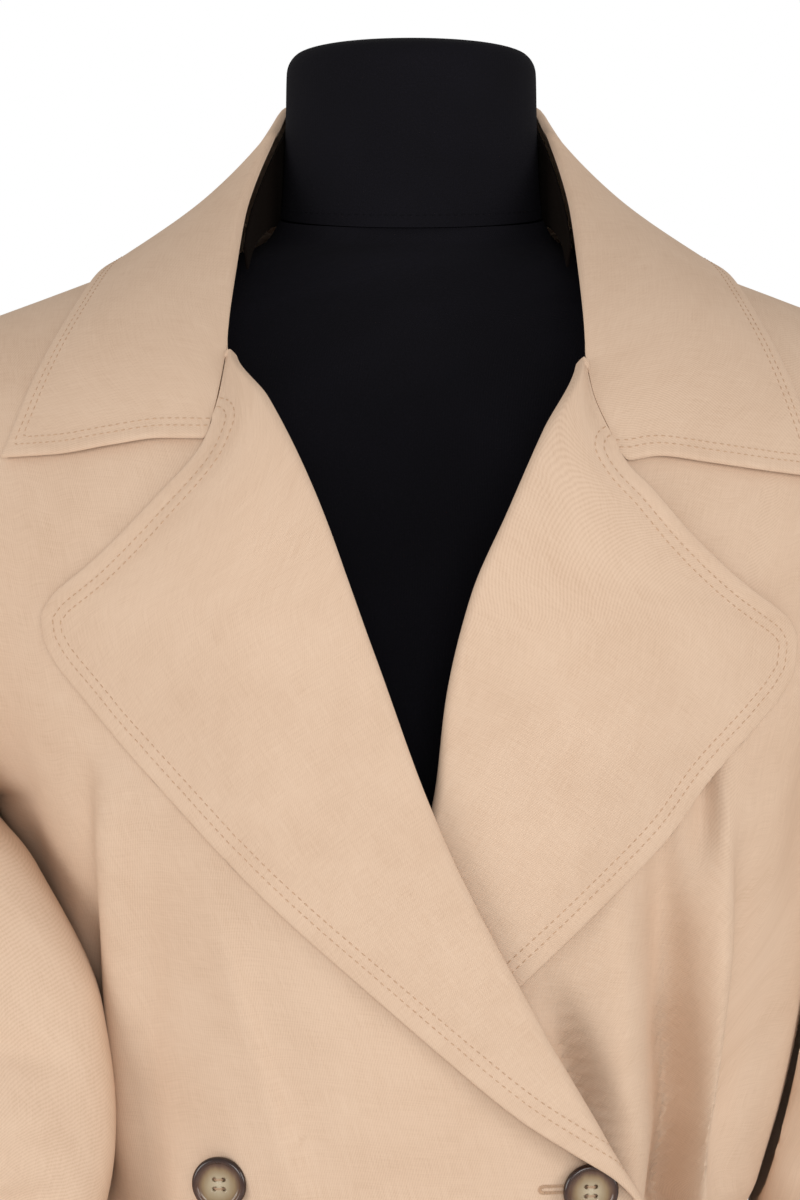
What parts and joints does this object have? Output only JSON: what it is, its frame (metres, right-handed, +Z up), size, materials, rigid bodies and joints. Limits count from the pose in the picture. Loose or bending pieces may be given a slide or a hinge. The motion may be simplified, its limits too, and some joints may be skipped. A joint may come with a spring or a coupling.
{
  "type": "trench coat on a dress form",
  "caption": "Belted double-breasted trench coat with wide peaked lapels and a turned collar, standing open at the neck on a limbless dress form.",
  "frame": {"origin": "centre of the underside of the stand's base plate", "axes": "+Z up along the pole, -Y the way the coat's front faces, +X towards the wearer's left"},
  "size_m": [0.643, 0.416, 1.4945],
  "materials": {
    "twill": "woven cotton twill, matt",
    "horn": "polished dark horn",
    "leather": "smooth brown leather",
    "jersey": "black knitted jersey, matt",
    "steel": "brushed steel"
  },
  "bodies": {
    "root": {"front_right": "twill", "front_left": "twill", "back": "twill", "sleeve_right": "twill", "sleeve_left": "twill", "collar": "twill", "collar_stand": "twill", "lapel_right": "twill", "lapel_left": "twill", "belt": "twill", "belt_end": "twill", "belt_loop_right": "twill", "belt_loop_left": "twill", "button_right_1": "horn", "button_left_1": "horn", "button_right_2": "horn", "button_left_2": "horn", "button_right_3": "horn", "button_left_3": "horn", "buckle": "leather", "form_torso": "jersey", "form_neck": "jersey", "pole": "steel", "base_plate": "steel"}
  },
  "joints": []
}
